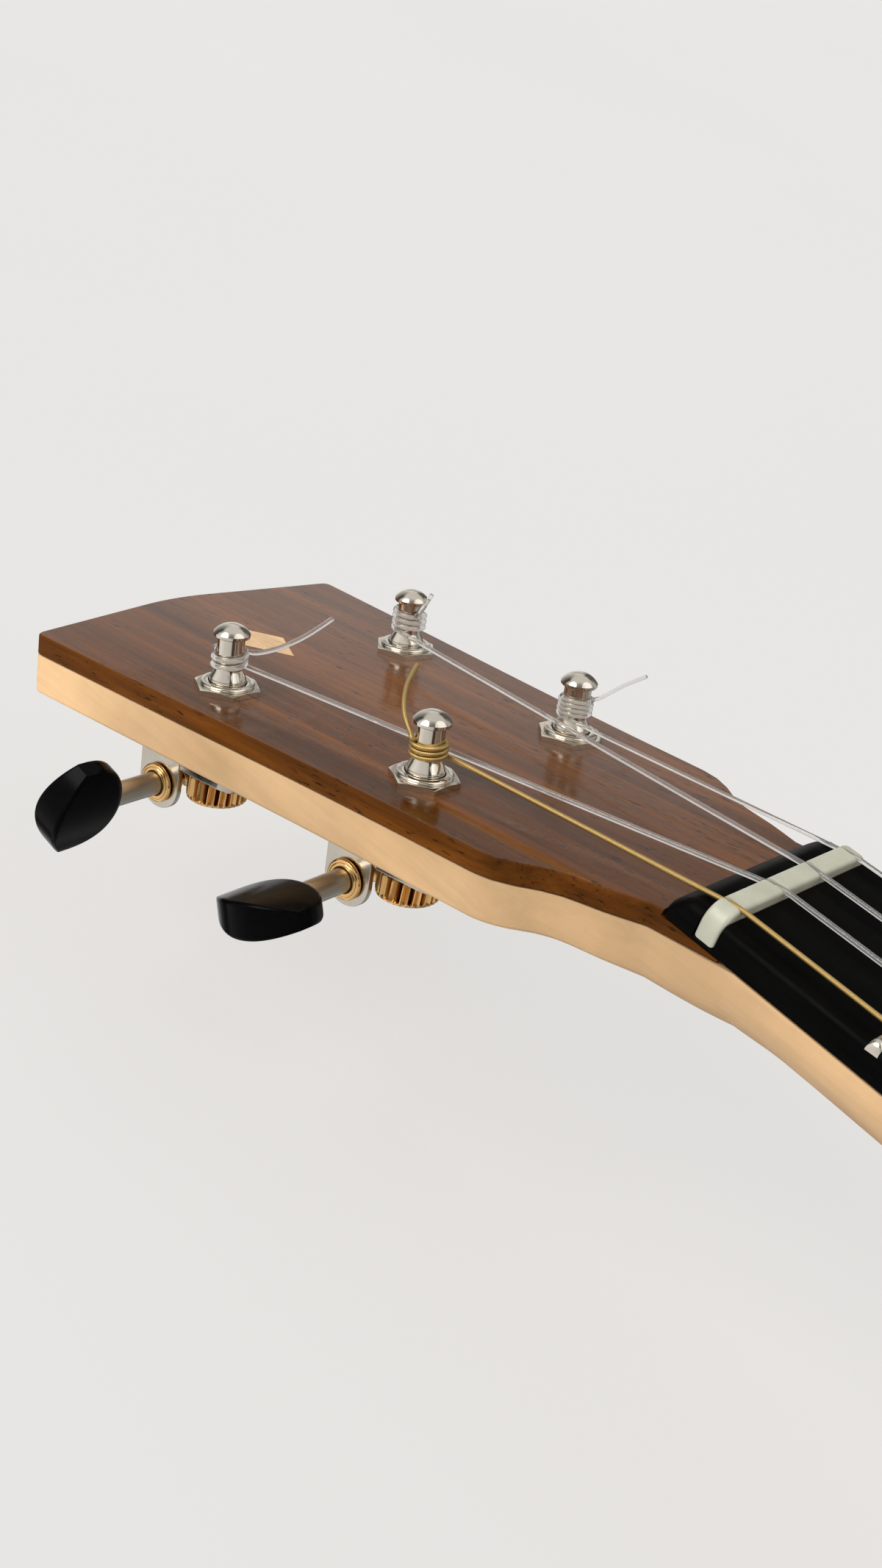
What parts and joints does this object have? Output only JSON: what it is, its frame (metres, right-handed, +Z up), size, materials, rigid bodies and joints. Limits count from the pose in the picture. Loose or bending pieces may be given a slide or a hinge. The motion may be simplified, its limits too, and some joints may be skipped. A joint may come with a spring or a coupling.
{
  "type": "tenor ukulele",
  "caption": "Tenor ukulele with a flat top, tie bridge, slanted solid headstock and open worm-gear tuners with half-moon buttons.",
  "frame": {"origin": "middle of the flat back's outer face, under the centre of the body's length", "axes": "+X towards the treble side, +Y along the neck to the headstock, +Z up out of the soundboard"},
  "size_m": [0.226, 0.6752, 0.0834],
  "materials": {
    "rosewood": "glossy lacquer",
    "spruce": "raw",
    "maple": "satin lacquer",
    "ebony": "oiled",
    "bone": "polished",
    "nickel": "polished nickel plate",
    "bronze": "polished",
    "black_plastic": "glossy",
    "wound_string": "fine winding",
    "clear_string": "clear nylon"
  },
  "bodies": {
    "body": {"back_lining_bass": "spruce", "back_lining_treble": "spruce", "back_panel": "rosewood", "bridge": "ebony", "bridge_plate": "maple", "fan_brace_bass": "spruce", "fan_brace_middle": "spruce", "fan_brace_treble": "spruce", "fretboard": "ebony", "headstock_inlay": "maple", "headstock_veneer": "rosewood", "heel_cap": "ebony", "lower_back_brace": "spruce", "lower_brace": "spruce", "neck": "maple", "neck_block": "spruce", "nut": "bone", "post_nut_a": "nickel", "post_nut_c": "nickel", "post_nut_e": "nickel", "post_nut_g": "nickel", "rosette": "maple", "saddle": "bone", "side_bass": "rosewood", "side_treble": "rosewood", "soundboard": "rosewood", "string_a": "clear_string", "string_c": "clear_string", "string_e": "clear_string", "string_g": "wound_string", "tail_block": "spruce", "top_lining_bass": "spruce", "top_lining_treble": "spruce", "tuner_plate_a": "nickel", "tuner_plate_c": "nickel", "tuner_plate_e": "nickel", "tuner_plate_g": "nickel", "upper_back_brace": "spruce", "upper_brace": "spruce"},
    "button_g": {"tuner_button_g": "black_plastic", "worm_shaft_g": "bronze"},
    "post_g": {"string_post_g": "nickel", "worm_gear_g": "bronze", "string_winding_g": "wound_string"},
    "button_c": {"tuner_button_c": "black_plastic", "worm_shaft_c": "bronze"},
    "post_c": {"string_post_c": "nickel", "worm_gear_c": "bronze", "string_winding_c": "clear_string"},
    "button_e": {"tuner_button_e": "black_plastic", "worm_shaft_e": "bronze"},
    "post_e": {"string_post_e": "nickel", "worm_gear_e": "bronze", "string_winding_e": "clear_string"},
    "button_a": {"tuner_button_a": "black_plastic", "worm_shaft_a": "bronze"},
    "post_a": {"string_post_a": "nickel", "worm_gear_a": "bronze", "string_winding_a": "clear_string"}
  },
  "joints": [
    {"name": "button_g_turn", "type": "hinge", "parent": "body", "child": "button_g", "pos_m": [-0.01697, 0.44686, 0.04649], "axis": [-0.9978, -0.0648, 0.0138], "continuous": true},
    {"name": "post_g_turn", "type": "hinge", "parent": "body", "child": "post_g", "pos_m": [-0.01656, 0.44424, 0.06371], "axis": [0, 0.2079, 0.9781], "continuous": true},
    {"name": "button_c_turn", "type": "hinge", "parent": "body", "child": "button_c", "pos_m": [-0.02037, 0.48635, 0.03809], "axis": [-0.9978, -0.0648, 0.0138], "continuous": true},
    {"name": "post_c_turn", "type": "hinge", "parent": "body", "child": "post_c", "pos_m": [-0.01996, 0.48374, 0.05531], "axis": [0, 0.2079, 0.9781], "continuous": true},
    {"name": "button_e_turn", "type": "hinge", "parent": "body", "child": "button_e", "pos_m": [0.02037, 0.48635, 0.03809], "axis": [0.9978, -0.0648, 0.0138], "continuous": true},
    {"name": "post_e_turn", "type": "hinge", "parent": "body", "child": "post_e", "pos_m": [0.01996, 0.48374, 0.05531], "axis": [0, 0.2079, 0.9781], "continuous": true},
    {"name": "button_a_turn", "type": "hinge", "parent": "body", "child": "button_a", "pos_m": [0.01697, 0.44686, 0.04649], "axis": [0.9978, -0.0648, 0.0138], "continuous": true},
    {"name": "post_a_turn", "type": "hinge", "parent": "body", "child": "post_a", "pos_m": [0.01656, 0.44424, 0.06371], "axis": [0, 0.2079, 0.9781], "continuous": true}
  ],
  "couplings": [
    {"joint": "post_g_turn", "follows": "button_g_turn", "ratio": -0.0625},
    {"joint": "post_c_turn", "follows": "button_c_turn", "ratio": -0.0625},
    {"joint": "post_e_turn", "follows": "button_e_turn", "ratio": 0.0625},
    {"joint": "post_a_turn", "follows": "button_a_turn", "ratio": 0.0625}
  ]
}
